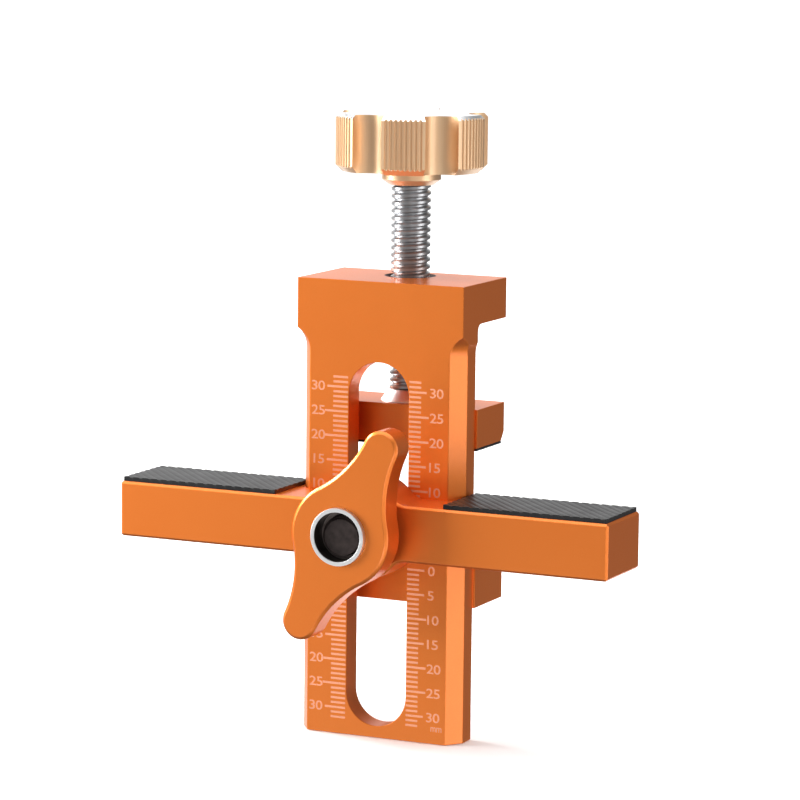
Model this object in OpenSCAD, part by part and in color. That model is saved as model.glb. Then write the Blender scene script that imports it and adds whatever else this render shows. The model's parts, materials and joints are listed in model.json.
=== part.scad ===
// Cabinet hardware jig: a slotted plate with a screw clamp behind it and a sliding
// cross bar in front. The origin is the middle of the plate's bottom face, +Z runs up
// the plate, +X along the bar to its right, and -Y is the side with the scales.

/* [Plate] */
// Width of the plate below the head
plate_w = 35.8; // [33:0.2:40]
// Thickness of the plate, front to back
plate_t = 7.5; // [6.6:0.1:9]
// Height of the body, base to head top
body_h = 93.1; // [90:0.5:110]
// Width of the bevels on the front corners, across the plate
corner_w = 2.45; // [1:0.05:3.5]
// Depth of the bevels on the front corners, front to back
corner_d = 3.5; // [1:0.1:4.5]
// How much higher the sides are milled at full depth
side_rise = 0.6; // [0.3:0.1:1]
// Radius of the cutter that leaves the scooped run-outs
runout_r = 5.2; // [3:0.05:8]
// Plain height left between the run-outs and the head's underside
runout_below = 0.45; // [0.1:0.05:4]

/* [Slot] */
// Width of the slot between its lips
slot_w = 13.3; // [10:0.1:15]
// Height of the slot's lower end
slot_bottom = 2.4; // [2:0.1:6]
// Height left between the slot's upper end and the head's underside
slot_below = 8; // [3:0.05:14]
// Thickness of the lips at the front of the slot
lip_t = 4.9; // [3.5:0.1:5.2]
// How far the stepped recess behind the lips is wider than the slot, each side
recess_step = 2.1; // [1.2:0.1:3]
// Height of the recess's lower end
recess_bottom = 1.2; // [0.8:0.1:2]
// How far the recess runs above the slot
recess_over = 1.2; // [0.5:0.1:2]
// Corner radius of the recess
recess_r = 4; // [2:0.5:5]

/* [Head and ledge] */
// How far head, ledge and moving jaw stand out past the plate, each side
side_step = 0.45; // [0.2:0.05:1.5]
// Thickness of the head
head_t = 8.25; // [6:0.05:9.5]
// Depth of the head, from the plate's front face
head_d = 21.5; // [20.5:0.1:26]
// Radius of the inner corners behind the plate
inner_r = 1.5; // [0.5:0.1:2]
// Height of the ledge's upper face, the zero of the lower scale
ledge_top = 35.4; // [30:0.1:37]
// Thickness of the ledge
ledge_t = 8.3; // [6:0.1:10]
// How far ledge and jaw stop short of the head's back face
back_step = 0.2; // [0:0.05:0.6]

/* [Cross bar] */
// Length of the bar
bar_l = 107.5; // [90:0.5:140]
// Height of the bar
bar_h = 11.4; // [10:0.1:14]
// Thickness of the bar in front of the plate
bar_front_t = 9.75; // [7:0.05:12]
// Where the bar is drawn, as a share of its travel up the slot
bar_share = 0.57645; // [0:0.00005:1]
// Bevel on the bar's outer edges
bar_bevel = 0.5; // [0.2:0.05:0.9]
// How far the bar's round boss stands over its upper and lower edges
boss_rise = 4.66; // [2:0.02:6]
// Radius of the fillets between the boss and the bar
boss_fillet_r = 4; // [1:0.25:6]
// Thickness of the rubber pads on the bar
pad_t = 0.9; // [0.5:0.1:2]
// Margin of the pads from the bar's edges
pad_inset = 0.55; // [0.3:0.05:1.5]

/* [Bar clamp] */
// Diameter of the stud
stud_d = 8; // [6:0.1:8.6]
// Corner cut of the T-nut's flange
flange_cut = 2.5; // [2.2:0.1:3]
// Outer diameter of the washer
washer_d = 16; // [13:0.5:20]
// Thickness of the washer
washer_t = 1.6; // [1:0.1:2.5]
// Outer diameter of the knob's steel bush
bush_d = 11.6; // [10.8:0.1:13]
// Wall of the bush round the counterbore in its front
bush_wall = 0.85; // [0.6:0.05:1.3]
// How far the bush stands out of the knob's front face
bush_lip = 0.9; // [0:0.1:1.5]
// How far the bush stands out of the knob's back face
bush_heel = 0.46; // [0.2:0.02:1]
// Depth of that counterbore
bush_bore_h = 3.6; // [3:0.1:5]
// Depth of the stud's end below the front of the bush
stud_recess = 2; // [1:0.1:2.9]

/* [Wing knob] */
// Diameter of the knob's middle disc
wing_disc_d = 21.1; // [17:0.1:24]
// Length of the knob over both lobes
wing_l = 47.3; // [42:0.1:56]
// Width of a lobe at its round end
wing_tip_w = 7.5; // [6:0.1:9]
// Radius of the hollow between disc and lobe
wing_hollow_r = 23.7; // [16:0.1:30]
// Thickness of the knob
wing_t = 6.2; // [5:0.1:8]
// Bevel round the front edge of the knob
wing_front_bevel = 0.6; // [0.2:0.05:1]
// Bevel round the back edge of the knob
wing_back_bevel = 0.5; // [0.2:0.05:1]
// Lean of the lobes from upright, clockwise seen from the front
wing_lean = 25.9; // [0:0.1:180]

/* [Moving jaw] */
// Thickness of the jaw block
jaw_t = 7.9; // [6:0.1:9]
// Smallest opening of the clamp, with the knob's hub on the head
least_opening = 5.25; // [0.5:0.05:20]
// Where the jaw is drawn, as a share of its travel from there up to the head
jaw_share = 0.55539; // [0.01:0.00001:0.99]
// Thickness of the rubber under the jaw
jaw_pad_t = 0.5; // [0.3:0.1:1.5]
// Depth of the bevel on the jaw's lower back edge, front to back
jaw_cut_d = 1.4; // [0.5:0.1:2]
// Height of the same bevel
jaw_cut_h = 1.9; // [0.5:0.1:2.5]

/* [Clamp screw] */
// Diameter of the screw
screw_d = 8; // [7:0.1:9]
// Depth of screw inside the knob
screw_in_knob = 9; // [6:0.5:11]
// Diameter of the spigot below the screw
spigot_d = 5; // [4:0.1:6]
// Diameter of the countersink in the head
sink_d = 10.5; // [9.4:0.1:12]
// Depth of the countersink
sink_h = 1.25; // [0.5:0.05:2]
// Diameter of the collar on the jaw
collar_d = 11.6; // [10.5:0.1:13]
// Height of the collar
collar_h = 2.4; // [1.5:0.1:4]
// Diameter of the retaining ring under the jaw
ring_d = 8.6; // [7.5:0.1:9]
// Thickness of the retaining ring
ring_t = 1.2; // [0.8:0.1:1.5]

/* [Star knob] */
// Diameter over the lobes
star_d = 31; // [27:0.5:36]
// Number of lobes
star_lobes = 6; // [5:1:7]
// Direction of one lobe, anticlockwise from the right
star_turn = 48.1; // [0:0.1:72]
// Diameter through the floors of the valleys
star_floor_d = 23; // [21.5:0.1:26]
// Radius of the valleys
valley_r = 3.6; // [3.2:0.05:4]
// Height of the lobed part
star_h = 11.7; // [9.5:0.1:16]
// Turned bevel round the lower edge
star_low_bevel = 1.3; // [0.5:0.05:2]
// Turned bevel round the upper edge
star_top_bevel = 0.8; // [0.3:0.05:1.5]
// Grooves on the tip of each lobe
groove_n = 8; // [5:1:9]
// How much of the distance from groove to groove a groove takes
groove_share = 0.68; // [0.4:0.02:0.9]
// Diameter of the hub's upper part
hub_d = 12; // [11:0.1:16]
// Height of the hub's upper part
hub_h = 1.7; // [1:0.1:3]
// Wall of the hub round the screw at its lower end
hub_wall = 0.5; // [0.3:0.05:1.2]
// Height of the hub's cone
hub_cone_h = 1.1; // [0.5:0.1:2]

/* [Clearances] */
// Gap between the bar's notch and the plate, each side
notch_gap = 0.1; // [0.05:0.01:0.3]
// Gap between the plate's back face and the jaw that runs on it
slide_gap = 0.05; // [0.03:0.01:0.15]
// Set-back of the bar's rear faces from the plate's back face
bar_back_gap = 0.07; // [0.02:0.01:0.3]
// Gap between the T-nut and the slot and recess that it runs in
nut_gap = 0.1; // [0.05:0.01:0.3]
// Radial gap between a screw and a threaded bore, thread depth left out
thread_gap = 0.08; // [0.03:0.01:0.1]
// Radial gap between the spigot and the jaw
spigot_gap = 0.05; // [0.03:0.01:0.1]
// Radial gap between the stud and the plain holes of washer and bar
hole_gap = 0.2; // [0.1:0.05:0.5]
// Radial gap round the retaining ring
ring_gap = 0.2; // [0.1:0.05:0.4]
// End play of the retaining ring under the jaw
end_play = 0.1; // [0.05:0.01:0.3]

/* [Hidden] */
$fn = 64;
// Overrun of cutting shapes past the faces that they cut
over = 1;
// Colours
orange = "darkorange";
champagne = "burlywood";
rubber = "dimgray";
steel = "silver";
black_steel = "black";

front_y = -plate_t / 2;
back_y = plate_t / 2;
head_z = body_h - head_t;
head_w = plate_w + 2 * side_step;
milled_h = head_z - runout_below - side_rise - runout_r;
slot_top = head_z - slot_below;
lip_y = front_y + lip_t;
jaw_back_y = front_y + head_d - back_step;
recess_top = slot_top + recess_over;
recess_w = slot_w + 2 * recess_step;
bore_d = screw_d + 2 * thread_gap;

notch_half = plate_w / 2 + notch_gap;
bar_front_y = front_y - bar_front_t;
bar_back_y = back_y - bar_back_gap;
pad_inner_x = notch_half + pad_inset;
pad_outer_x = bar_l / 2 - pad_inset;

stud_z = slot_bottom + slot_w / 2 + bar_share * (slot_top - slot_bottom - slot_w);
bar_z = stud_z - bar_h / 2;
boss_r = bar_h / 2 + boss_rise;
// Centre of a fillet, which touches the boss and the bar's edge from outside
boss_fillet_z = bar_h / 2 + boss_fillet_r;
boss_fillet_x = sqrt(pow(boss_r + boss_fillet_r, 2) - pow(boss_fillet_z, 2));
washer_y = bar_front_y - washer_t;
knob_back_y = washer_y - bush_heel;
knob_front_y = knob_back_y - wing_t;
bush_front_y = knob_front_y - bush_lip;
bush_bore_d = bush_d - 2 * bush_wall;
stud_front_y = bush_front_y + stud_recess;
neck_d = slot_w - 2 * nut_gap;
flange_w = recess_w - 2 * nut_gap;
nut_back_y = back_y - 2 * nut_gap;

tip_r = wing_tip_w / 2;
tip_u = wing_l / 2 - tip_r;
disc_r = wing_disc_d / 2;
// Centre of the hollow's circle, which touches disc and lobe from outside
hollow_u = (pow(tip_u, 2) + pow(disc_r + wing_hollow_r, 2) - pow(tip_r + wing_hollow_r, 2)) / (2 * tip_u);
hollow_w = sqrt(pow(disc_r + wing_hollow_r, 2) - pow(hollow_u, 2));
touch_disc_share = disc_r / (disc_r + wing_hollow_r);
touch_tip_share = tip_r / (tip_r + wing_hollow_r);

// The screw stands halfway between the plate's back and the head's back
screw_y = (back_y + front_y + head_d) / 2;
jaw_stack = jaw_pad_t + jaw_t + collar_h;
lowest_jaw_z = ledge_top + least_opening;
jaw_z = lowest_jaw_z + jaw_share * (head_z - jaw_stack - lowest_jaw_z);
jaw_low = jaw_z + jaw_pad_t;
jaw_top = jaw_low + jaw_t;
jaw_front_y = back_y + slide_gap;
ring_pocket_d = ring_d + 2 * ring_gap;
ring_low = jaw_low + end_play;
ring_pocket_h = ring_t + 2 * end_play;
shoulder_z = jaw_top + collar_h;
// The screw is as long as brings the hub to the head at the smallest opening
screw_l = body_h - lowest_jaw_z - jaw_stack;
hub_z = shoulder_z + screw_l;
hub_low_d = screw_d + 2 * hub_wall;
star_z = hub_z + hub_cone_h + hub_h;
valley_at = star_floor_d / 2 + valley_r;
// Half the angle that a valley takes of the circle over the lobes
valley_angle = acos((pow(star_d / 2, 2) + pow(valley_at, 2) - pow(valley_r, 2)) / (star_d * valley_at));
groove_step = (360 / star_lobes - 2 * valley_angle) / (groove_n + 1);
groove_r = groove_share * star_d / 2 * sin(groove_step / 2);

// A cylinder that lies along Y, from y0 to y1
module rod_y(d, y0, y1, x = 0, z = 0) {
    translate([x, y0, z]) rotate([-90, 0, 0]) cylinder(d = d, h = y1 - y0);
}

// An upright cylinder on the screw's axis, from z0 to z1
module rod_z(d, z0, z1, top_d) {
    translate([0, screw_y, z0])
        cylinder(d1 = d, d2 = is_undef(top_d) ? d : top_d, h = z1 - z0);
}

// An upright slot through the plate from y0 to y1, with round corners of radius r
module slot_cut(w, z0, z1, r, y0, y1) {
    square_end = w > 2 * r;
    for (x = square_end ? [r - w / 2, w / 2 - r] : [0], z = [z0 + r, z1 - r])
        rod_y(2 * r, y0, y1, x, z);
    translate([-w / 2, y0, z0 + r]) cube([w, y1 - y0, z1 - z0 - 2 * r]);
    if (square_end) translate([r - w / 2, y0, z0]) cube([w - 2 * r, y1 - y0, z1 - z0]);
}

// What the milling cutter takes off the right front corner: a flat bevel that ends
// in a scoop of the cutter's radius
module corner_cut() {
    lean = atan2(corner_w, corner_d);
    reach = norm([corner_w, corner_d]);
    translate([plate_w / 2 - corner_w, front_y, 0]) rotate([0, 0, -lean]) {
        translate([0, -over, -over]) cube([corner_w + over, reach + 2 * over, milled_h + over]);
        intersection() {
            translate([0, -over, milled_h])
                cube([corner_w + over, reach + 2 * over, runout_r]);
            rod_y(2 * runout_r, -over, reach + over, runout_r, milled_h);
        }
    }
}

// What the cutter takes off the right side, down to the plate's width
module side_cut() {
    top = milled_h + side_rise;
    translate([plate_w / 2, front_y - over, -over])
        cube([side_step + over, plate_t + 2 * over, top + over]);
    intersection() {
        translate([plate_w / 2, front_y - over, top])
            cube([side_step + over, plate_t + 2 * over, runout_r]);
        rod_y(2 * runout_r, front_y - over, back_y + over, plate_w / 2 + runout_r, top);
    }
}

// Rounding of the inner corner between the plate's back and the head's underside
module inner_round() {
    translate([-head_w / 2, back_y, head_z - inner_r]) difference() {
        cube([head_w, inner_r, inner_r]);
        translate([-over, inner_r, 0]) rotate([0, 90, 0])
            cylinder(r = inner_r, h = head_w + 2 * over);
    }
}

module jig_body() {
    color(orange) difference() {
        union() {
            difference() {
                translate([-head_w / 2, front_y, 0]) cube([head_w, plate_t, body_h]);
                slot_cut(slot_w, slot_bottom, slot_top, slot_w / 2,
                         front_y - over, back_y + over);
                slot_cut(recess_w, recess_bottom, recess_top, recess_r, lip_y, back_y + over);
                for (s = [0, 1]) mirror([s, 0, 0]) {
                    corner_cut();
                    side_cut();
                }
            }
            translate([-head_w / 2, front_y, head_z]) cube([head_w, head_d, head_t]);
            translate([-head_w / 2, back_y, ledge_top - ledge_t])
                cube([head_w, jaw_back_y - back_y, ledge_t]);
            inner_round();
        }
        rod_z(bore_d, head_z - over, body_h + over);
        // The countersink's cone, carried on past the head's top
        rod_z(bore_d, body_h - sink_h, body_h + over,
              sink_d + (sink_d - bore_d) / sink_h * over);
    }
}

// Outline of the bar from above, notched round the front and sides of the plate
module bar_plan() {
    b = bar_bevel;
    // The notch's bevel runs parallel to the plate's own, one gap away
    slope = corner_w / corner_d;
    shift = notch_gap * norm([corner_w, corner_d]) / corner_d;
    foot_x = plate_w / 2 - corner_w + shift;
    half = [[bar_l / 2 - b, bar_front_y], [bar_l / 2, bar_front_y + b],
            [bar_l / 2, bar_back_y - b], [bar_l / 2 - b, bar_back_y],
            [notch_half, bar_back_y],
            [notch_half, front_y + (notch_half - foot_x) / slope],
            [foot_x, front_y]];
    polygon(concat(half, [for (i = [len(half) - 1:-1:0]) [-half[i][0], half[i][1]]]));
}

// The round boss in the bar's middle with its fillets, bevelled in front like the bar
module bar_boss() {
    b = bar_bevel;
    difference() {
        union() {
            rod_y(2 * boss_r, bar_front_y + b, front_y, 0, stud_z);
            translate([0, bar_front_y, stud_z]) rotate([-90, 0, 0])
                cylinder(r1 = boss_r - b, r2 = boss_r, h = b);
            for (s = [-1, 1])
                translate([0, front_y, stud_z]) rotate([90, 0, 0]) linear_extrude(bar_front_t)
                    polygon([[0, 0], [s * boss_fillet_x, -boss_fillet_z],
                             [s * boss_fillet_x, boss_fillet_z]]);
        }
        for (s = [-1, 1], t = [-1, 1]) {
            rod_y(2 * boss_fillet_r, bar_front_y - over, front_y + over,
                  s * boss_fillet_x, stud_z + t * boss_fillet_z);
            translate([s * boss_fillet_x, bar_front_y - over, stud_z + t * boss_fillet_z])
                rotate([-90, 0, 0])
                cylinder(r1 = boss_fillet_r + b + over, r2 = boss_fillet_r, h = b + over);
        }
    }
}

module cross_bar() {
    b = bar_bevel;
    color(orange) difference() {
        union() {
            intersection() {
                translate([0, 0, bar_z]) linear_extrude(bar_h) bar_plan();
                // Bevels along the bar's upper and lower edges
                translate([-bar_l / 2, 0, bar_z]) rotate([90, 0, 90]) linear_extrude(bar_l)
                    polygon([[bar_front_y + b, 0], [bar_back_y - b, 0], [bar_back_y, b],
                             [bar_back_y, bar_h - b], [bar_back_y - b, bar_h],
                             [bar_front_y + b, bar_h], [bar_front_y, bar_h - b],
                             [bar_front_y, b]]);
                translate([0, bar_back_y, bar_z]) rotate([90, 0, 0])
                    linear_extrude(bar_back_y - bar_front_y)
                    polygon([for (s = [[-1, 0, b], [1, 0, b], [1, b, 0], [1, bar_h - b, 0],
                                       [1, bar_h, b], [-1, bar_h, b], [-1, bar_h - b, 0],
                                       [-1, b, 0]])
                             [s[0] * (bar_l / 2 - s[2]), s[1]]]);
            }
            bar_boss();
        }
        rod_y(stud_d + 2 * hole_gap, bar_front_y - over, front_y + over, 0, stud_z);
    }
}

module bar_pad(s) {
    color(rubber)
        translate([s > 0 ? pad_inner_x : -pad_outer_x, bar_front_y + pad_inset, bar_z + bar_h])
        cube([pad_outer_x - pad_inner_x, bar_back_y - bar_front_y - 2 * pad_inset, pad_t]);
}

module left_pad() {
    bar_pad(-1);
}

module right_pad() {
    bar_pad(1);
}

module t_nut() {
    w = flange_w / 2;
    h = neck_d / 2;
    c = flange_cut;
    color(steel) difference() {
        union() {
            rod_y(neck_d, front_y + nut_gap, lip_y, 0, stud_z);
            translate([0, nut_back_y, stud_z]) rotate([90, 0, 0])
                linear_extrude(nut_back_y - lip_y)
                polygon([[c - w, -h], [w - c, -h], [w, c - h], [w, h - c],
                         [w - c, h], [c - w, h], [-w, h - c], [-w, c - h]]);
        }
        rod_y(stud_d, front_y, back_y, 0, stud_z);
    }
}

module stud() {
    color(black_steel) rod_y(stud_d, stud_front_y, nut_back_y, 0, stud_z);
}

module bar_washer() {
    color(steel) difference() {
        rod_y(washer_d, washer_y, bar_front_y, 0, stud_z);
        rod_y(stud_d + 2 * hole_gap, washer_y - over, bar_front_y + over, 0, stud_z);
    }
}

// A disc of the knob with its front and back bevels, centred on the lobe's axis
module wing_round(r, u) {
    f = wing_front_bevel;
    k = wing_back_bevel;
    translate([0, knob_back_y, u]) rotate([90, 0, 0]) rotate_extrude()
        polygon([[0, 0], [r - k, 0], [r, k], [r, wing_t - f], [r - f, wing_t], [0, wing_t]]);
}

// The hollow on one side of a lobe: the outline's circle, wider where the bevels are
module wing_hollow() {
    r = wing_hollow_r;
    f = wing_front_bevel;
    k = wing_back_bevel;
    translate([hollow_w, knob_back_y, hollow_u]) rotate([90, 0, 0]) rotate_extrude($fn = 180)
        polygon([[0, -over], [r + k + over, -over], [r, k], [r, wing_t - f],
                 [r + f + over, wing_t + over], [0, wing_t + over]]);
}

// The web that joins the disc to one round end, between the points where the
// hollows touch them
module wing_web() {
    u0 = hollow_u * touch_disc_share;
    w0 = hollow_w * touch_disc_share;
    u1 = tip_u + (hollow_u - tip_u) * touch_tip_share;
    w1 = hollow_w * touch_tip_share;
    difference() {
        translate([0, knob_back_y, 0]) rotate([90, 0, 0]) linear_extrude(wing_t)
            polygon([[0, 0], [w0, u0], [w1, u1], [-w1, u1], [-w0, u0]]);
        wing_hollow();
        mirror([1, 0, 0]) wing_hollow();
    }
}

module wing_knob() {
    color(orange) difference() {
        translate([0, 0, stud_z]) rotate([0, wing_lean, 0]) {
            wing_round(disc_r, 0);
            for (turn = [0, 180]) rotate([0, turn, 0]) {
                wing_round(tip_r, tip_u);
                wing_web();
            }
        }
        rod_y(bush_d, knob_front_y - over, knob_back_y + over, 0, stud_z);
    }
}

module knob_bush() {
    color(steel) difference() {
        rod_y(bush_d, bush_front_y, washer_y, 0, stud_z);
        rod_y(bush_bore_d, bush_front_y - over, bush_front_y + bush_bore_h, 0, stud_z);
        rod_y(stud_d + 2 * thread_gap, bush_front_y, washer_y + over, 0, stud_z);
    }
}

module moving_jaw() {
    color(orange) difference() {
        translate([0, 0, jaw_low]) rotate([90, 0, 90])
            translate([0, 0, -head_w / 2]) linear_extrude(head_w)
            polygon([[jaw_front_y, 0], [jaw_back_y - jaw_cut_d, 0], [jaw_back_y, jaw_cut_h],
                     [jaw_back_y, jaw_t], [jaw_front_y, jaw_t]]);
        rod_z(spigot_d + 2 * spigot_gap, jaw_low - over, jaw_top + over);
        rod_z(ring_pocket_d, jaw_low - over, jaw_low + ring_pocket_h);
    }
}

module jaw_pad() {
    color(rubber) translate([-head_w / 2, jaw_front_y, jaw_z])
        cube([head_w, jaw_back_y - jaw_cut_d - jaw_front_y, jaw_pad_t]);
}

module clamp_screw() {
    color(steel) {
        rod_z(screw_d, shoulder_z, hub_z + screw_in_knob);
        rod_z(spigot_d, ring_low, shoulder_z);
    }
}

module swivel_collar() {
    color(steel) difference() {
        rod_z(collar_d, jaw_top, shoulder_z, bore_d);
        rod_z(spigot_d, jaw_top - over, shoulder_z + over);
    }
}

module retaining_ring() {
    color(steel) difference() {
        rod_z(ring_d, ring_low, ring_low + ring_t);
        rod_z(spigot_d, ring_low - over, ring_low + ring_t + over);
    }
}

// The lobed outline of the star knob, with grooves on the tips
module star_plan() {
    difference() {
        circle(d = star_d, $fn = 180);
        for (i = [0:star_lobes - 1]) rotate(star_turn + 360 / star_lobes * i) {
            rotate(180 / star_lobes) translate([valley_at, 0]) circle(r = valley_r, $fn = 48);
            for (g = [0:groove_n - 1]) rotate((g - (groove_n - 1) / 2) * groove_step)
                translate([star_d / 2, 0]) circle(r = groove_r, $fn = 14);
        }
    }
}

module star_knob() {
    r = star_d / 2;
    color(champagne) translate([0, screw_y, 0]) difference() {
        union() {
            intersection() {
                translate([0, 0, star_z]) linear_extrude(star_h) star_plan();
                translate([0, 0, star_z]) rotate_extrude($fn = 180)
                    polygon([[0, 0], [r - star_low_bevel, 0], [r, star_low_bevel],
                             [r, star_h - star_top_bevel], [r - star_top_bevel, star_h],
                             [0, star_h]]);
            }
            translate([0, 0, hub_z]) cylinder(d1 = hub_low_d, d2 = hub_d, h = hub_cone_h);
            translate([0, 0, hub_z + hub_cone_h]) cylinder(d = hub_d, h = hub_h);
        }
        translate([0, 0, hub_z - over]) cylinder(d = screw_d, h = screw_in_knob + over);
    }
}

jig_body();
cross_bar();
left_pad();
right_pad();
t_nut();
stud();
bar_washer();
wing_knob();
knob_bush();
moving_jaw();
jaw_pad();
clamp_screw();
swivel_collar();
retaining_ring();
star_knob();
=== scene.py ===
import json
import math

import bpy
from mathutils import Matrix, Vector

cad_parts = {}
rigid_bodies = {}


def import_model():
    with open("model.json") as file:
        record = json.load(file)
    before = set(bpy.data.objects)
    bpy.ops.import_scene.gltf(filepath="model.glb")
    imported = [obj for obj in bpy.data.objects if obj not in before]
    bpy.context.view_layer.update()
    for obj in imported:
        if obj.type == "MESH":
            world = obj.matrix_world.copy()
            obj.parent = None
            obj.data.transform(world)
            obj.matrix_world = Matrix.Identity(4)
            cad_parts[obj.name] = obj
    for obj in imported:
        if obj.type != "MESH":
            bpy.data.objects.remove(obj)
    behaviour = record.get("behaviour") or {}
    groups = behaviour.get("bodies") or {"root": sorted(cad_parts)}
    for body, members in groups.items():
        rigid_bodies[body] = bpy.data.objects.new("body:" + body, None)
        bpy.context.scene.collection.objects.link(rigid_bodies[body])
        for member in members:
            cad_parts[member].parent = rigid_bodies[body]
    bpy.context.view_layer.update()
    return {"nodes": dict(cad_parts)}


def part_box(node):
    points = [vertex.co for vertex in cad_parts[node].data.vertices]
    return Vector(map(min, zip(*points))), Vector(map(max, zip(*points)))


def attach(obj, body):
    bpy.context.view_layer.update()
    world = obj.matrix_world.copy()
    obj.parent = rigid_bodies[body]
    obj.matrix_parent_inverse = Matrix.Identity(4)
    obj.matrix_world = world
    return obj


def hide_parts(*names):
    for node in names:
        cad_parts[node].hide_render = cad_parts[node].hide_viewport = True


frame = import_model()

# The body: a slotted plate with a head at its top and a ledge behind, milled from one
# block of aluminium, blasted fine and anodised orange. Its edges were broken with a
# light stroke after milling, which shows as a thin bright line.
MM = 0.001


def clear_selection():
    """Nothing is selected, so that the next operator acts only on what the section picks."""
    for thing in bpy.context.view_layer.objects:
        thing.select_set(False)


def pick(piece):
    """Makes one piece the selected and active one."""
    clear_selection()
    piece.select_set(True)
    bpy.context.view_layer.objects.active = piece


def from_solid(node, name):
    """A new piece in the shape of a solid, its triangles merged and its flats made whole."""
    piece = bpy.data.objects.new(name, frame["nodes"][node].data.copy())
    bpy.context.scene.collection.objects.link(piece)
    piece.data.name = name
    piece.data.materials.clear()
    pick(piece)
    bpy.ops.object.mode_set(mode="EDIT")
    bpy.ops.mesh.select_all(action="SELECT")
    bpy.ops.mesh.customdata_custom_splitnormals_clear()
    bpy.ops.mesh.remove_doubles(threshold=0.0005 * MM)
    bpy.ops.mesh.dissolve_limited(angle_limit=math.radians(0.3))
    bpy.ops.object.mode_set(mode="OBJECT")
    return piece


def break_edges(piece, width, corner=35, steps=2):
    """Rounds every edge sharper than the corner angle, and keeps the flats flat."""
    pick(piece)
    bevel = piece.modifiers.new("edge break", "BEVEL")
    bevel.width, bevel.segments = width, steps
    bevel.limit_method, bevel.angle_limit = "ANGLE", math.radians(corner)
    bevel.use_clamp_overlap = False
    bpy.ops.object.modifier_apply(modifier=bevel.name)
    bpy.ops.object.shade_smooth_by_angle(angle=math.radians(corner))
    flats = piece.modifiers.new("flats", "WEIGHTED_NORMAL")
    flats.keep_sharp = True
    bpy.ops.object.modifier_apply(modifier=flats.name)


def linear(code):
    """A hex colour as sRGB numbers, turned to linear light for a shader."""
    parts = [int(code[i:i + 2], 16) / 255 for i in (1, 3, 5)]
    light = [c / 12.92 if c <= 0.04045 else ((c + 0.055) / 1.055) ** 2.4 for c in parts]
    return (*light, 1.0)


def put(material, kind, settings=None, links=None):
    """Adds one node to a material, with its settings and its links."""
    node = material.node_tree.nodes.new(kind)
    for key, value in (settings or {}).items():
        if isinstance(key, int) or key in node.inputs:
            node.inputs[key].default_value = value
        else:
            setattr(node, key, value)
    for key, socket in (links or {}).items():
        material.node_tree.links.new(socket, node.inputs[key])
    return node


def new_material(name):
    """An empty node material."""
    material = bpy.data.materials.new(name)
    material.use_nodes = True
    material.node_tree.nodes.clear()
    return material


# Anodised aluminium, fine blasted: a satin metal whose dyed oxide is a little uneven.
# The blast grain is about 0.1 mm, drawn at 0.3 mm so that it shows at all.
orange_anodised = new_material("orange_anodised_aluminium")
place = put(orange_anodised, "ShaderNodeTexCoord").outputs["Object"]
dye = put(orange_anodised, "ShaderNodeTexNoise",
          {"Scale": 1 / (14 * MM), "Detail": 3.0, "Roughness": 0.5}, {"Vector": place})
grain = put(orange_anodised, "ShaderNodeTexNoise",
            {"Scale": 1 / (0.3 * MM), "Detail": 2.0, "Roughness": 0.6}, {"Vector": place})
dye_colour = put(orange_anodised, "ShaderNodeMix",
                 {"data_type": "RGBA", 6: linear("#E98338"), 7: linear("#E57D32")},
                 {0: dye.outputs["Fac"]})
sheen = put(orange_anodised, "ShaderNodeMapRange",
            {"From Min": 0.3, "From Max": 0.7, "To Min": 0.46, "To Max": 0.54},
            {"Value": grain.outputs["Fac"]})
blast = put(orange_anodised, "ShaderNodeBump", {"Strength": 0.12, "Distance": 0.02 * MM},
            {"Height": grain.outputs["Fac"]})
skin = put(orange_anodised, "ShaderNodeBsdfPrincipled",
           {"Metallic": 1.0, "Specular Tint": (1.0, 0.62, 0.5, 1.0),
            "Coat Weight": 0.5, "Coat Roughness": 0.22},
           {"Base Color": dye_colour.outputs[2], "Roughness": sheen.outputs["Result"],
            "Normal": blast.outputs["Normal"]})
put(orange_anodised, "ShaderNodeOutputMaterial", {}, {"Surface": skin.outputs["BSDF"]})


def fit(piece, body, slot, material, *nodes):
    """Puts a finished piece on its body, with its material and the solids that it stands for."""
    if material is not None:
        piece.data.materials.clear()
        piece.data.materials.append(material)
    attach(piece, body)
    if nodes:
        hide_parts(*nodes)


plate_body = from_solid("jig_body", "plate_body")
break_edges(plate_body, 0.15 * MM, corner=25)

# The tapped hole for the clamp screw is painted shade: a dark brown that stands in for
# the shadow inside the bore, mottled over about 2 mm.
bore_painted_shade = new_material("tapped_hole_painted_shade")
place = put(bore_painted_shade, "ShaderNodeTexCoord").outputs["Object"]
bore_shade_mottle = put(bore_painted_shade, "ShaderNodeTexNoise", {"Scale": 1 / (2 * MM), "Detail": 2.0},
            {"Vector": place})
bore_shade_colour = put(bore_painted_shade, "ShaderNodeMix",
          {"data_type": "RGBA", 6: linear("#2A1A14"), 7: linear("#452A1E")},
          {0: bore_shade_mottle.outputs["Fac"]})
bore_roughness = put(bore_painted_shade, "ShaderNodeMapRange", {"To Min": 0.35, "To Max": 0.55},
          {"Value": bore_shade_mottle.outputs["Fac"]})
bore_shade_shader = put(bore_painted_shade, "ShaderNodeBsdfPrincipled", {"Metallic": 0.3},
           {"Base Color": bore_shade_colour.outputs[2], "Roughness": bore_roughness.outputs["Result"]})
put(bore_painted_shade, "ShaderNodeOutputMaterial", {}, {"Surface": bore_shade_shader.outputs["BSDF"]})
plate_body.data.materials.append(orange_anodised)
plate_body.data.materials.append(bore_painted_shade)
screw_low, screw_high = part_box("clamp_screw")
screw_y = (screw_low.y + screw_high.y) / 2
head_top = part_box("jig_body")[1].z
bore_reach, head_t = 5.5 * MM, 9 * MM
# The faces of the bore in the head take the painted shade
for face in plate_body.data.polygons:
    spread = math.hypot(face.center.x, face.center.y - screw_y)
    in_bore = spread < bore_reach and abs(face.normal.z) < 0.9
    face.material_index = 1 if in_bore and face.center.z > head_top - head_t else 0
fit(plate_body, "jig", "orange_anodised", None, "jig_body")

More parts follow.
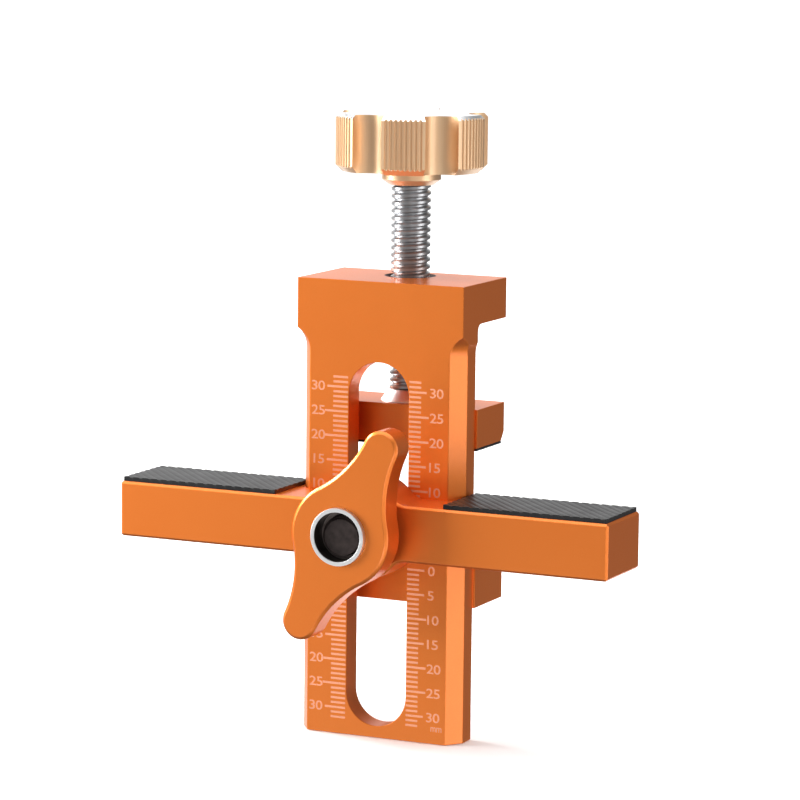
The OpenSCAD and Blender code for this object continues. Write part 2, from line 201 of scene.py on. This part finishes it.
# The scales beside the slot: millimetre ticks, every fifth one longer, burnt into the
# oxide with a laser. They count away from the two zeros, up from the bar's edge and
# down from the ledge.
plate_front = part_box("jig_body")[0].y
tick_w, mark_t = 0.45 * MM, 0.016 * MM
upper_zero, lower_zero = 41.42 * MM, 35.40 * MM
# Inner and outer ends of the short ticks, measured from the slot's middle
tick_ends = {-1: (6.85 * MM, 10.1 * MM), 1: (6.75 * MM, 9.35 * MM)}
long_more = {-1: 1.35 * MM, 1: 1.2 * MM}
tick_count = 33
marks = []
for side in (-1, 1):
    inner, outer = tick_ends[side]
    for zero, step in ((upper_zero, 1), (lower_zero, -1)):
        clear_selection()
        bpy.ops.mesh.primitive_cube_add(size=1, location=(0, 0, 0))
        tick = bpy.context.object
        bpy.ops.object.mode_set(mode="EDIT")
        bpy.ops.mesh.select_all(action="SELECT")
        bpy.ops.transform.resize(value=(outer - inner, mark_t, tick_w))
        bpy.ops.transform.translate(value=(side * (inner + outer) / 2, plate_front, zero))
        bpy.ops.object.mode_set(mode="OBJECT")
        rounding = tick.modifiers.new("round ends", "BEVEL")
        rounding.width, rounding.segments = 0.006 * MM, 1
        bpy.ops.object.modifier_apply(modifier=rounding.name)
        row = tick.modifiers.new("row", "ARRAY")
        row.use_relative_offset, row.use_constant_offset = False, True
        row.constant_offset_displace = (0, 0, step * MM)
        row.count = tick_count
        bpy.ops.object.modifier_apply(modifier=row.name)
        # Every fifth tick is drawn out away from the slot, a little more beside wide numbers
        for fifth in range(0, tick_count, 5):
            reach = long_more[side] + (0.5 * MM if fifth in (10, 20, 25) else 0)
            height = zero + step * fifth * MM
            for point in tick.data.vertices:
                if abs(point.co.z - height) < MM / 2 and abs(point.co.x) > (inner + outer) / 2:
                    point.co.x += side * reach
        marks.append(tick)
pick(marks[0])
for tick in marks:
    tick.select_set(True)
bpy.ops.object.join()
scale_ticks = bpy.context.object
scale_ticks.name = scale_ticks.data.name = "scale_ticks"

# Laser-whitened oxide: a dull pinkish mark, speckled where the laser pulsed every
# 0.1 mm, drawn at 0.25 mm.
laser_mark = new_material("laser_mark_in_oxide")
place = put(laser_mark, "ShaderNodeTexCoord").outputs["Object"]
pulses = put(laser_mark, "ShaderNodeTexNoise",
             {"Scale": 1 / (0.25 * MM), "Detail": 1.0}, {"Vector": place})
burn = put(laser_mark, "ShaderNodeMix",
           {"data_type": "RGBA", 6: linear("#D08A66"), 7: linear("#DE9B79")},
           {0: pulses.outputs["Fac"]})
mark = put(laser_mark, "ShaderNodeBsdfPrincipled", {"Roughness": 0.7, "Metallic": 0.3},
           {"Base Color": burn.outputs[2]})
put(laser_mark, "ShaderNodeOutputMaterial", {}, {"Surface": mark.outputs["BSDF"]})
fit(scale_ticks, "jig", "orange_anodised", laser_mark)

# The numbers of the scales and their unit, marked by the same laser in plain upright
# figures, on the outer side of the long ticks.
figure_h, unit_h = 2.0 * MM, 1.5 * MM
figure_wide, unit_w = 1.22, 2.45 * MM
figure_bold = 0.025 * MM
# A figure's height as a share of the type's size
figure_share = 0.729
# Where a number's left edge stands, by its side, and that of the unit
number_left = {-1: -14.95 * MM, 1: 11.3 * MM}
one_figure_left, unit_left, unit_middle = -13.5 * MM, 12.3 * MM, 3.05 * MM
figures = []
written = [(str(n), upper_zero + n * MM) for n in range(5, 31, 5)]
written += [(str(n), lower_zero - n * MM) for n in range(0, 31, 5)]
labels = [(text, side, height, figure_h) for side in (-1, 1) for text, height in written]
labels.append(("mm", 1, unit_middle, unit_h))
for text, side, height, tall in labels:
    clear_selection()
    bpy.ops.object.text_add(location=(0, 0, 0))
    figure = bpy.context.object
    figure.data.body = text
    figure.data.size = tall / figure_share
    figure.data.space_character = 0.93
    figure.data.extrude = mark_t / 2
    figure.data.offset = figure_bold
    figure.data.resolution_u = 3
    figure.data.align_x = "LEFT"
    bpy.ops.object.convert(target="MESH")
    bpy.ops.object.mode_set(mode="EDIT")
    bpy.ops.mesh.select_all(action="SELECT")
    bpy.ops.mesh.remove_doubles(threshold=0.001 * MM)
    bpy.ops.object.mode_set(mode="OBJECT")
    xs = [point.co.x for point in figure.data.vertices]
    ys = [point.co.y for point in figure.data.vertices]
    # The figures stand upright on the plate's face: the text's up turns to the plate's up,
    # and they are set a little wider than the type is drawn
    left = unit_left if text == "mm" else number_left[side]
    if side < 0 and len(text) == 1:
        left = one_figure_left
    elif side < 0 and text[0] == "1":
        left += 0.5 * MM
    middle = (min(ys) + max(ys)) / 2
    width = figure_wide if text != "mm" else unit_w / (max(xs) - min(xs))
    turn = Matrix(((width, 0, 0, left - width * min(xs)), (0, 0, -1, plate_front),
                   (0, 1, 0, height - middle), (0, 0, 0, 1)))
    figure.data.transform(turn)
    figures.append(figure)
pick(figures[0])
for figure in figures:
    figure.select_set(True)
bpy.ops.object.join()
scale_numbers = bpy.context.object
scale_numbers.name = scale_numbers.data.name = "scale_numbers"
fit(scale_numbers, "jig", "orange_anodised", laser_mark)

# The cross bar: a length of square aluminium bar, notched to slide round the front and
# sides of the plate, with bevelled outer edges, anodised in the same orange.
sliding_bar = from_solid("cross_bar", "sliding_bar")
break_edges(sliding_bar, 0.10 * MM, corner=25)
fit(sliding_bar, "bar", "orange_anodised", orange_anodised, "cross_bar")

# The pads on the bar: strips of black rubber mat with moulded ribs that run aslant,
# glued on so that a door's edge stands on them without marks.
groove_w, rib_flank, rib_top, rib_rise = 0.30 * MM, 0.20 * MM, 0.84 * MM, 0.10 * MM
rib_pitch = groove_w + rib_flank + rib_top + rib_flank
rib_turn, rib_count, rib_span = math.radians(-46.2), 36, 50 * MM
for side, node in ((-1, "left_pad"), (1, "right_pad")):
    low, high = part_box(node)
    centre = (low + high) / 2
    clear_selection()
    # One groove floor, a flank, a rib's top and the other flank, then a row of them
    bpy.ops.mesh.primitive_plane_add(size=1, location=(0, 0, 0))
    pad = bpy.context.object
    pad.name = pad.data.name = "ribbed_" + node
    bpy.ops.object.mode_set(mode="EDIT")
    bpy.ops.mesh.select_all(action="SELECT")
    bpy.ops.transform.resize(value=(groove_w, rib_span, 1))
    bpy.ops.transform.translate(value=(groove_w / 2, 0, 0))
    for run, rise in ((rib_flank, rib_rise), (rib_top, 0), (rib_flank, -rib_rise)):
        bpy.ops.mesh.select_all(action="DESELECT")
        bpy.ops.object.mode_set(mode="OBJECT")
        far = max(point.co.x for point in pad.data.vertices)
        for edge in pad.data.edges:
            ends = [pad.data.vertices[i].co.x for i in edge.vertices]
            edge.select = min(ends) > far - 0.01 * MM
        for point in pad.data.vertices:
            point.select = point.co.x > far - 0.01 * MM
        bpy.ops.object.mode_set(mode="EDIT")
        bpy.ops.mesh.extrude_region_move(TRANSFORM_OT_translate={"value": (run, 0, rise)})
    bpy.ops.object.mode_set(mode="OBJECT")
    row = pad.modifiers.new("ribs", "ARRAY")
    row.use_relative_offset, row.use_constant_offset = False, True
    row.constant_offset_displace = (rib_pitch, 0, 0)
    row.count = rib_count
    row.use_merge_vertices, row.merge_threshold = True, 0.01 * MM
    bpy.ops.object.modifier_apply(modifier=row.name)
    middle = Matrix.Translation((-rib_count / 2 * rib_pitch, 0, 0))
    pad.data.transform(Matrix.Translation((centre.x, centre.y, high.z - rib_rise))
                       @ Matrix.Rotation(rib_turn + math.pi / 2, 4, "Z") @ middle)
    # The mat is cut to its rectangle, and its cut edge is drawn down to the bar
    bpy.ops.object.mode_set(mode="EDIT")
    for point, outwards in (((low.x, 0, 0), (-1, 0, 0)), ((high.x, 0, 0), (1, 0, 0)),
                            ((0, low.y, 0), (0, -1, 0)), ((0, high.y, 0), (0, 1, 0))):
        bpy.ops.mesh.select_all(action="SELECT")
        bpy.ops.mesh.bisect(plane_co=point, plane_no=outwards, clear_outer=True)
    bpy.ops.mesh.select_all(action="DESELECT")
    bpy.ops.mesh.select_non_manifold(use_wire=False, use_multi_face=False,
                                     use_non_contiguous=False, use_verts=False)
    bpy.ops.mesh.extrude_region_move(TRANSFORM_OT_translate={"value": (0, 0, -0.2 * MM)})
    bpy.ops.transform.resize(value=(1, 1, 0), center_override=(centre.x, centre.y, low.z))
    bpy.ops.mesh.edge_face_add()
    bpy.ops.mesh.select_all(action="SELECT")
    bpy.ops.mesh.normals_make_consistent(inside=False)
    bpy.ops.object.mode_set(mode="OBJECT")
    break_edges(pad, 0.05 * MM, corner=40, steps=1)
    if side < 0:
        # Moulded natural rubber: a dull black with a grey bloom, grainy at about 0.1 mm,
        # drawn at 0.2 mm.
        rubber = new_material("moulded_black_rubber")
        place = put(rubber, "ShaderNodeTexCoord").outputs["Object"]
        bloom = put(rubber, "ShaderNodeTexNoise",
                    {"Scale": 1 / (4 * MM), "Detail": 4.0, "Roughness": 0.6}, {"Vector": place})
        pores = put(rubber, "ShaderNodeTexNoise",
                    {"Scale": 1 / (0.2 * MM), "Detail": 2.0}, {"Vector": place})
        tone = put(rubber, "ShaderNodeMix",
                   {"data_type": "RGBA", 6: linear("#0D0D0E"), 7: linear("#171718")},
                   {0: bloom.outputs["Fac"]})
        dull = put(rubber, "ShaderNodeMapRange", {"To Min": 0.34, "To Max": 0.5},
                   {"Value": bloom.outputs["Fac"]})
        grainy = put(rubber, "ShaderNodeBump", {"Strength": 0.25, "Distance": 0.03 * MM},
                     {"Height": pores.outputs["Fac"]})
        mat = put(rubber, "ShaderNodeBsdfPrincipled", {"IOR": 1.42},
                  {"Base Color": tone.outputs[2], "Roughness": dull.outputs["Result"],
                   "Normal": grainy.outputs["Normal"]})
        put(rubber, "ShaderNodeOutputMaterial", {}, {"Surface": mat.outputs["BSDF"]})
    fit(pad, "bar", "rubber", rubber, node)

# The T-nut behind the slot's lips and the washer behind the wing knob: turned and
# milled mild steel, left bright.
slot_nut = from_solid("t_nut", "slot_nut")
break_edges(slot_nut, 0.15 * MM)
flat_washer = from_solid("bar_washer", "flat_washer")
break_edges(flat_washer, 0.12 * MM)

# Turned bright steel: grey with fine tool marks, about 0.1 mm from ring to ring, drawn
# at 0.25 mm.
bright_steel = new_material("turned_bright_steel")
place = put(bright_steel, "ShaderNodeTexCoord").outputs["Object"]
cloud = put(bright_steel, "ShaderNodeTexNoise",
            {"Scale": 1 / (2.5 * MM), "Detail": 3.0}, {"Vector": place})
tooling = put(bright_steel, "ShaderNodeTexNoise",
              {"Scale": 1 / (0.25 * MM), "Detail": 2.0}, {"Vector": place})
grey = put(bright_steel, "ShaderNodeMix",
           {"data_type": "RGBA", 6: linear("#AAABAD"), 7: linear("#B8B9BB")},
           {0: cloud.outputs["Fac"]})
gloss = put(bright_steel, "ShaderNodeMapRange", {"To Min": 0.30, "To Max": 0.40},
            {"Value": tooling.outputs["Fac"]})
marks_of_tool = put(bright_steel, "ShaderNodeBump", {"Strength": 0.04, "Distance": 0.02 * MM},
                    {"Height": tooling.outputs["Fac"]})
steel = put(bright_steel, "ShaderNodeBsdfPrincipled", {"Metallic": 1.0},
            {"Base Color": grey.outputs[2], "Roughness": gloss.outputs["Result"],
             "Normal": marks_of_tool.outputs["Normal"]})
put(bright_steel, "ShaderNodeOutputMaterial", {}, {"Surface": steel.outputs["BSDF"]})
fit(slot_nut, "bar", "steel", bright_steel, "t_nut")
fit(flat_washer, "washer", "steel", bright_steel, "bar_washer")

# The stud that pulls the bar to the plate: a black screw with a 1.25 mm thread, fixed
# in the T-nut. Only its chamfered front end shows, inside the knob's bush.
low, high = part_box("stud")
centre = (low + high) / 2


def threaded_rod(name, outer, root, pitch, shares, length, turn_steps):
    """A rod along +Z from 0 to length: one pitch of thread swept up and cut square."""
    clear_selection()
    bpy.ops.mesh.primitive_plane_add(size=1, location=(0, 0, 0))
    rod = bpy.context.object
    rod.name = rod.data.name = name
    bpy.ops.object.mode_set(mode="EDIT")
    bpy.ops.mesh.select_all(action="SELECT")
    bpy.ops.mesh.merge(type="CENTER")
    bpy.ops.transform.translate(value=(root, 0, -2 * pitch))
    # Up the root, out along the lower flank, up the crest and back in along the upper flank
    for share, step in zip(shares, (0, outer - root, 0, root - outer)):
        bpy.ops.mesh.extrude_region_move(
            TRANSFORM_OT_translate={"value": (step, 0, share * pitch)})
    bpy.ops.object.mode_set(mode="OBJECT")
    sweep = rod.modifiers.new("thread", "SCREW")
    sweep.axis, sweep.angle, sweep.screw_offset = "Z", math.tau, pitch
    sweep.iterations = int(length / pitch) + 4
    sweep.steps = sweep.render_steps = turn_steps
    sweep.use_merge_vertices, sweep.merge_threshold = True, 0.005 * MM
    sweep.use_normal_calculate = True
    bpy.ops.object.modifier_apply(modifier=sweep.name)
    bpy.ops.object.mode_set(mode="EDIT")
    for height, outwards in ((0, -1), (length, 1)):
        bpy.ops.mesh.select_all(action="SELECT")
        bpy.ops.mesh.bisect(plane_co=(0, 0, height), plane_no=(0, 0, outwards),
                            clear_outer=True)
        bpy.ops.mesh.select_all(action="SELECT")
        bpy.ops.mesh.remove_doubles(threshold=0.002 * MM)
        bpy.ops.mesh.select_all(action="DESELECT")
        bpy.ops.mesh.select_non_manifold(use_wire=False, use_multi_face=False,
                                         use_non_contiguous=False, use_verts=False)
        bpy.ops.object.mode_set(mode="OBJECT")
        for edge in rod.data.edges:
            ends = [rod.data.vertices[i].co.z for i in edge.vertices]
            edge.select = edge.select and max(abs(z - height) for z in ends) < 0.01 * MM
        bpy.ops.object.mode_set(mode="EDIT")
        bpy.ops.mesh.edge_face_add()
    bpy.ops.mesh.select_all(action="SELECT")
    bpy.ops.mesh.normals_make_consistent(inside=False)
    bpy.ops.object.mode_set(mode="OBJECT")
    bpy.ops.object.shade_smooth_by_angle(angle=math.radians(28))
    return rod


stud_r, stud_pitch, stud_thread_h = (high.x - low.x) / 2, 1.25 * MM, 0.68 * MM
black_stud = threaded_rod("black_stud", stud_r, stud_r - stud_thread_h, stud_pitch,
                          (0.15, 0.36, 0.13, 0.36), high.y - low.y, 48)
black_stud.data.transform(Matrix.Translation((centre.x, high.y, centre.z))
                          @ Matrix.Rotation(math.pi / 2, 4, "X"))

# Black-oxide steel: near black with a faint grey lustre, a little blotchy over 1 mm.
black_oxide = new_material("black_oxide_steel")
place = put(black_oxide, "ShaderNodeTexCoord").outputs["Object"]
blotch = put(black_oxide, "ShaderNodeTexNoise",
             {"Scale": 1 / (1.2 * MM), "Detail": 4.0}, {"Vector": place})
soot = put(black_oxide, "ShaderNodeMix",
           {"data_type": "RGBA", 6: linear("#2A2524"), 7: linear("#4A403E")},
           {0: blotch.outputs["Fac"]})
lustre = put(black_oxide, "ShaderNodeMapRange", {"To Min": 0.28, "To Max": 0.5},
             {"Value": blotch.outputs["Fac"]})
oxide = put(black_oxide, "ShaderNodeBsdfPrincipled", {"Metallic": 0.8},
            {"Base Color": soot.outputs[2], "Roughness": lustre.outputs["Result"]})
put(black_oxide, "ShaderNodeOutputMaterial", {}, {"Surface": oxide.outputs["BSDF"]})
fit(black_stud, "bar", "black_steel", black_oxide, "stud")

# The wing knob: two lobes milled from aluminium plate, bevelled round both edges and
# anodised orange like the body.
wing_grip = from_solid("wing_knob", "wing_grip")
break_edges(wing_grip, 0.10 * MM, corner=25)
fit(wing_grip, "wing", "orange_anodised", orange_anodised, "wing_knob")

# The knob's bush: a threaded steel bush pressed through the knob, with a polished lip
# round a counterbore whose darkness is painted shade.
steel_bush = from_solid("knob_bush", "steel_bush")
break_edges(steel_bush, 0.14 * MM)

# Polished steel: a mirror with a breath of haze from the buffing wheel, its scratches
# 0.05 mm wide, drawn at 0.15 mm.
polished_steel = new_material("polished_steel")
place = put(polished_steel, "ShaderNodeTexCoord").outputs["Object"]
haze = put(polished_steel, "ShaderNodeTexNoise",
           {"Scale": 1 / (0.8 * MM), "Detail": 3.0}, {"Vector": place})
scratch = put(polished_steel, "ShaderNodeTexNoise",
              {"Scale": 1 / (0.15 * MM), "Detail": 1.0}, {"Vector": place})
white_metal = put(polished_steel, "ShaderNodeMix",
                  {"data_type": "RGBA", 6: linear("#E4E5E6"), 7: linear("#F1F1F1")},
                  {0: haze.outputs["Fac"]})
mirror = put(polished_steel, "ShaderNodeMapRange", {"To Min": 0.36, "To Max": 0.46},
             {"Value": haze.outputs["Fac"]})
buffing = put(polished_steel, "ShaderNodeBump", {"Strength": 0.03, "Distance": 0.01 * MM},
              {"Height": scratch.outputs["Fac"]})
polish = put(polished_steel, "ShaderNodeBsdfPrincipled", {"Metallic": 1.0},
             {"Base Color": white_metal.outputs[2], "Roughness": mirror.outputs["Result"],
              "Normal": buffing.outputs["Normal"]})
put(polished_steel, "ShaderNodeOutputMaterial", {}, {"Surface": polish.outputs["BSDF"]})

# The bush's counterbore is bored, not polished: its brown-grey is painted shade down the bore,
# and its lighter streaks along the bore, about 0.3 mm apart, are painted reflections.
counterbore_painted_shade = new_material("counterbore_painted_shade_and_reflection")
place = put(counterbore_painted_shade, "ShaderNodeTexCoord").outputs["Object"]
along = put(counterbore_painted_shade, "ShaderNodeMapping", {"vector_type": "TEXTURE", "Scale": (1, 6, 1)},
            {"Vector": place})
painted_reflection_streaks = put(counterbore_painted_shade, "ShaderNodeTexNoise",
             {"Scale": 1 / (1.5 * MM), "Detail": 3.0}, {"Vector": along.outputs["Vector"]})
counterbore_shade_colour = put(counterbore_painted_shade, "ShaderNodeMix",
            {"data_type": "RGBA", 6: linear("#5E5653"), 7: linear("#8B8380")},
            {0: painted_reflection_streaks.outputs["Fac"]})
soft = put(counterbore_painted_shade, "ShaderNodeMapRange", {"To Min": 0.25, "To Max": 0.4},
           {"Value": painted_reflection_streaks.outputs["Fac"]})
bore = put(counterbore_painted_shade, "ShaderNodeBsdfPrincipled", {"Metallic": 1.0},
           {"Base Color": counterbore_shade_colour.outputs[2], "Roughness": soft.outputs["Result"]})
put(counterbore_painted_shade, "ShaderNodeOutputMaterial", {}, {"Surface": bore.outputs["BSDF"]})
steel_bush.data.materials.append(polished_steel)
steel_bush.data.materials.append(counterbore_painted_shade)
low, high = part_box("knob_bush")
counterbore_r, lip_h, heel_h = 4.98 * MM, 0.2 * MM, 0.3 * MM
# Faces inside the counterbore, between lip and heel, take the painted shade and reflections
for face in steel_bush.data.polygons:
    out = math.hypot(face.center.x, face.center.z - (low.z + high.z) / 2)
    between = low.y + lip_h < face.center.y < high.y - heel_h
    face.material_index = 1 if out < counterbore_r and between else 0
fit(steel_bush, "wing", "polished_steel", None, "knob_bush")

# The moving jaw: a block milled from the same aluminium, with a bevelled lower back
# edge, and the thin rubber sheet glued under it.
jaw_block = from_solid("moving_jaw", "jaw_block")
break_edges(jaw_block, 0.18 * MM)
fit(jaw_block, "jaw", "orange_anodised", orange_anodised, "moving_jaw")
jaw_rubber = from_solid("jaw_pad", "jaw_rubber")
break_edges(jaw_rubber, 0.12 * MM, steps=3)
fit(jaw_rubber, "jaw", "rubber", rubber, "jaw_pad")

# The clamp screw: bright steel with a rolled 1.5 mm thread, turned down at its lower
# end to a spigot that sits in the jaw.
low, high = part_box("clamp_screw")
screw_r, screw_pitch, screw_thread_h = (high.x - low.x) / 2, 1.5 * MM, 0.62 * MM
spigot_r = 2.5 * MM
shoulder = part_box("swivel_collar")[1].z
clamp_spindle = threaded_rod("clamp_spindle", screw_r, screw_r - screw_thread_h, screw_pitch,
                             (0.18, 0.25, 0.32, 0.25), high.z - shoulder, 72)
clamp_spindle.data.transform(Matrix.Translation((0, screw_y, shoulder)))
clear_selection()
bpy.ops.mesh.primitive_cylinder_add(radius=spigot_r, depth=shoulder - low.z, vertices=48,
                                    location=(0, screw_y, (low.z + shoulder) / 2))
spigot = bpy.context.object
bpy.ops.object.transform_apply(location=True, rotation=True, scale=True)
break_edges(spigot, 0.3 * MM)
pick(clamp_spindle)
spigot.select_set(True)
bpy.ops.object.join()
fit(clamp_spindle, "screw", "steel", bright_steel, "clamp_screw")

# The collar on the jaw and the ring in its pocket: a turned, polished cone that the
# screw's shoulder stands on, and a plain ring that keeps the spigot in.
cone_collar = from_solid("swivel_collar", "cone_collar")
break_edges(cone_collar, 0.12 * MM)
fit(cone_collar, "screw", "polished_steel", polished_steel, "swivel_collar")
snap_ring = from_solid("retaining_ring", "snap_ring")
break_edges(snap_ring, 0.10 * MM)
fit(snap_ring, "screw", "steel", bright_steel, "retaining_ring")

# The star knob: turned from aluminium bar, its valleys milled and its lobe tips
# grooved, with a turned bevel above and below and a stepped hub, anodised champagne.
star_grip = from_solid("star_knob", "star_grip")
pick(star_grip)
bpy.ops.object.shade_smooth_by_angle(angle=math.radians(25))
flats = star_grip.modifiers.new("flats", "WEIGHTED_NORMAL")
flats.keep_sharp = True
bpy.ops.object.modifier_apply(modifier=flats.name)

# Champagne anodised aluminium, turned: a satin metal, paler and glossier than the
# orange, with rings from the lathe 0.1 mm apart, drawn at 0.3 mm. The ring pattern
# repeats every tau / 20 at a scale of 1.
ring_scale = math.tau / (20 * 0.3 * MM)
champagne_anodised = new_material("champagne_anodised_aluminium")
place = put(champagne_anodised, "ShaderNodeTexCoord").outputs["Object"]
on_axis = put(champagne_anodised, "ShaderNodeMapping",
              {"vector_type": "POINT", "Location": (0, -screw_y, 0)}, {"Vector": place})
lathe = put(champagne_anodised, "ShaderNodeTexWave",
            {"wave_type": "RINGS", "rings_direction": "Z", "Scale": ring_scale,
             "Distortion": 0.4, "Detail": 1.0}, {"Vector": on_axis.outputs["Vector"]})
tint = put(champagne_anodised, "ShaderNodeTexNoise",
           {"Scale": 1 / (9 * MM), "Detail": 2.0}, {"Vector": place})
gold = put(champagne_anodised, "ShaderNodeMix",
           {"data_type": "RGBA", 6: linear("#EFCAA2"), 7: linear("#EAC49A")},
           {0: tint.outputs["Fac"]})
satin = put(champagne_anodised, "ShaderNodeMapRange", {"To Min": 0.44, "To Max": 0.54},
            {"Value": lathe.outputs["Fac"]})
rings = put(champagne_anodised, "ShaderNodeBump", {"Strength": 0.06, "Distance": 0.02 * MM},
            {"Height": lathe.outputs["Fac"]})
star_skin = put(champagne_anodised, "ShaderNodeBsdfPrincipled",
                {"Metallic": 1.0, "Coat Weight": 0.6, "Coat Roughness": 0.22},
                {"Base Color": gold.outputs[2], "Roughness": satin.outputs["Result"],
                 "Normal": rings.outputs["Normal"]})
put(champagne_anodised, "ShaderNodeOutputMaterial", {}, {"Surface": star_skin.outputs["BSDF"]})

# The knob's top and its upper bevel were faced after anodising and left as bright bare
# aluminium, with the same rings from the lathe.
faced_aluminium = new_material("faced_bright_aluminium")
place = put(faced_aluminium, "ShaderNodeTexCoord").outputs["Object"]
on_axis = put(faced_aluminium, "ShaderNodeMapping",
              {"vector_type": "POINT", "Location": (0, -screw_y, 0)}, {"Vector": place})
facing = put(faced_aluminium, "ShaderNodeTexWave",
             {"wave_type": "RINGS", "rings_direction": "Z", "Scale": ring_scale,
              "Distortion": 0.2, "Detail": 1.0}, {"Vector": on_axis.outputs["Vector"]})
bare = put(faced_aluminium, "ShaderNodeMix",
           {"data_type": "RGBA", 6: linear("#F1F2F3"), 7: linear("#F8F8F9")},
           {0: facing.outputs["Fac"]})
shine = put(faced_aluminium, "ShaderNodeMapRange", {"To Min": 0.28, "To Max": 0.36},
            {"Value": facing.outputs["Fac"]})
turned = put(faced_aluminium, "ShaderNodeBump", {"Strength": 0.05, "Distance": 0.02 * MM},
             {"Height": facing.outputs["Fac"]})
top_skin = put(faced_aluminium, "ShaderNodeBsdfPrincipled", {"Metallic": 1.0},
               {"Base Color": bare.outputs[2], "Roughness": shine.outputs["Result"],
                "Normal": turned.outputs["Normal"]})
put(faced_aluminium, "ShaderNodeOutputMaterial", {}, {"Surface": top_skin.outputs["BSDF"]})
star_grip.data.materials.append(champagne_anodised)
star_grip.data.materials.append(faced_aluminium)
star_top, top_bevel_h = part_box("star_knob")[1].z, 0.9 * MM
for face in star_grip.data.polygons:
    faced = face.normal.z > 0.3 and face.center.z > star_top - top_bevel_h
    face.material_index = 1 if faced else 0
fit(star_grip, "screw", "champagne_anodised", None, "star_knob")

# The studio: a pale floor that is lit evenly to the horizon, a grey surround, soft boxes
# at the right, the left and behind on the left, a wide light above, low boxes for the
# light that a white table throws back, and the long lens of the photograph.
clear_selection()
bpy.ops.mesh.primitive_plane_add(size=24, location=(0, 0, -0.1 * MM))
floor = bpy.context.object
floor.name = "studio_floor"
pale = new_material("pale_studio_floor")
paint = put(pale, "ShaderNodeBsdfPrincipled",
            {"Base Color": linear("#FFFFFF"), "Roughness": 0.9, "Specular IOR Level": 0.1})
put(pale, "ShaderNodeOutputMaterial", {}, {"Surface": paint.outputs["BSDF"]})
floor.data.materials.append(pale)
# The reflections in the part come from the soft boxes and the surround alone
floor.visible_glossy = floor.visible_shadow = False

surround = bpy.data.worlds.new("surround")
bpy.context.scene.world = surround
surround.use_nodes = True
surround.node_tree.nodes["Background"].inputs["Color"].default_value = (1, 1, 1, 1)
surround.node_tree.nodes["Background"].inputs["Strength"].default_value = 0.235

clear_selection()
bpy.ops.object.light_add(type="SUN", location=(0, 0, 2))
ceiling = bpy.context.object
ceiling.name = "ceiling_light"
ceiling.data.energy, ceiling.data.angle = 2.8, math.radians(80)

# Each soft box: its azimuth from the front, elevation, distance, width, height and power
aim = Vector((0, 0, 60 * MM))
for name, azimuth, elevation, away, wide, tall, power in (
        ("soft_box_right", 88, -2, 0.9, 0.5, 0.9, 3.6),
        ("soft_box_front_left", -62, 14, 1.0, 0.5, 0.7, 10.2),
        ("soft_box_left", -98, 24, 0.9, 0.3, 0.3, 8.0),
        ("soft_box_left_behind", -130, -4, 0.9, 0.4, 0.5, 0.6),
        ("soft_box_behind", -155, 14, 0.9, 0.8, 0.3, 0.9),
        ("table_bounce_left", -28, -32, 1.0, 0.9, 0.5, 1.7),
        ("table_bounce_right", 40, -30, 1.0, 0.6, 0.5, 3.1),
        ("table_bounce_behind", -162, -30, 1.0, 1.0, 0.5, 2.6)):
    clear_selection()
    a, e = math.radians(azimuth), math.radians(elevation)
    from_object = Vector((math.sin(a) * math.cos(e), -math.cos(a) * math.cos(e), math.sin(e)))
    bpy.ops.object.light_add(type="AREA", location=aim + away * from_object)
    lamp = bpy.context.object
    lamp.name = name
    lamp.data.shape, lamp.data.size, lamp.data.size_y = "RECTANGLE", wide, tall
    lamp.data.energy = power
    lamp.rotation_mode = "QUATERNION"
    lamp.rotation_quaternion = (-from_object).to_track_quat("-Z", "Y")

# The camera's place and its three axes were fitted to the scales in the photograph
clear_selection()
bpy.ops.object.camera_add(location=(0.31528, -0.67518, 0.17542))
camera = bpy.context.object
camera.data.lens, camera.data.sensor_width = 168.07, 36
camera.data.clip_start, camera.data.clip_end = 0.05, 60
across = Vector((0.906876, 0.421247, 0.011265))
upwards = Vector((-0.069752, 0.123696, 0.989867))
backwards = Vector((0.41558, -0.89847, 0.14156))
camera.rotation_mode = "QUATERNION"
camera.rotation_quaternion = Matrix((across, upwards, backwards)).transposed().to_quaternion()
bpy.context.scene.camera = camera
bpy.context.scene.view_settings.view_transform = "Standard"
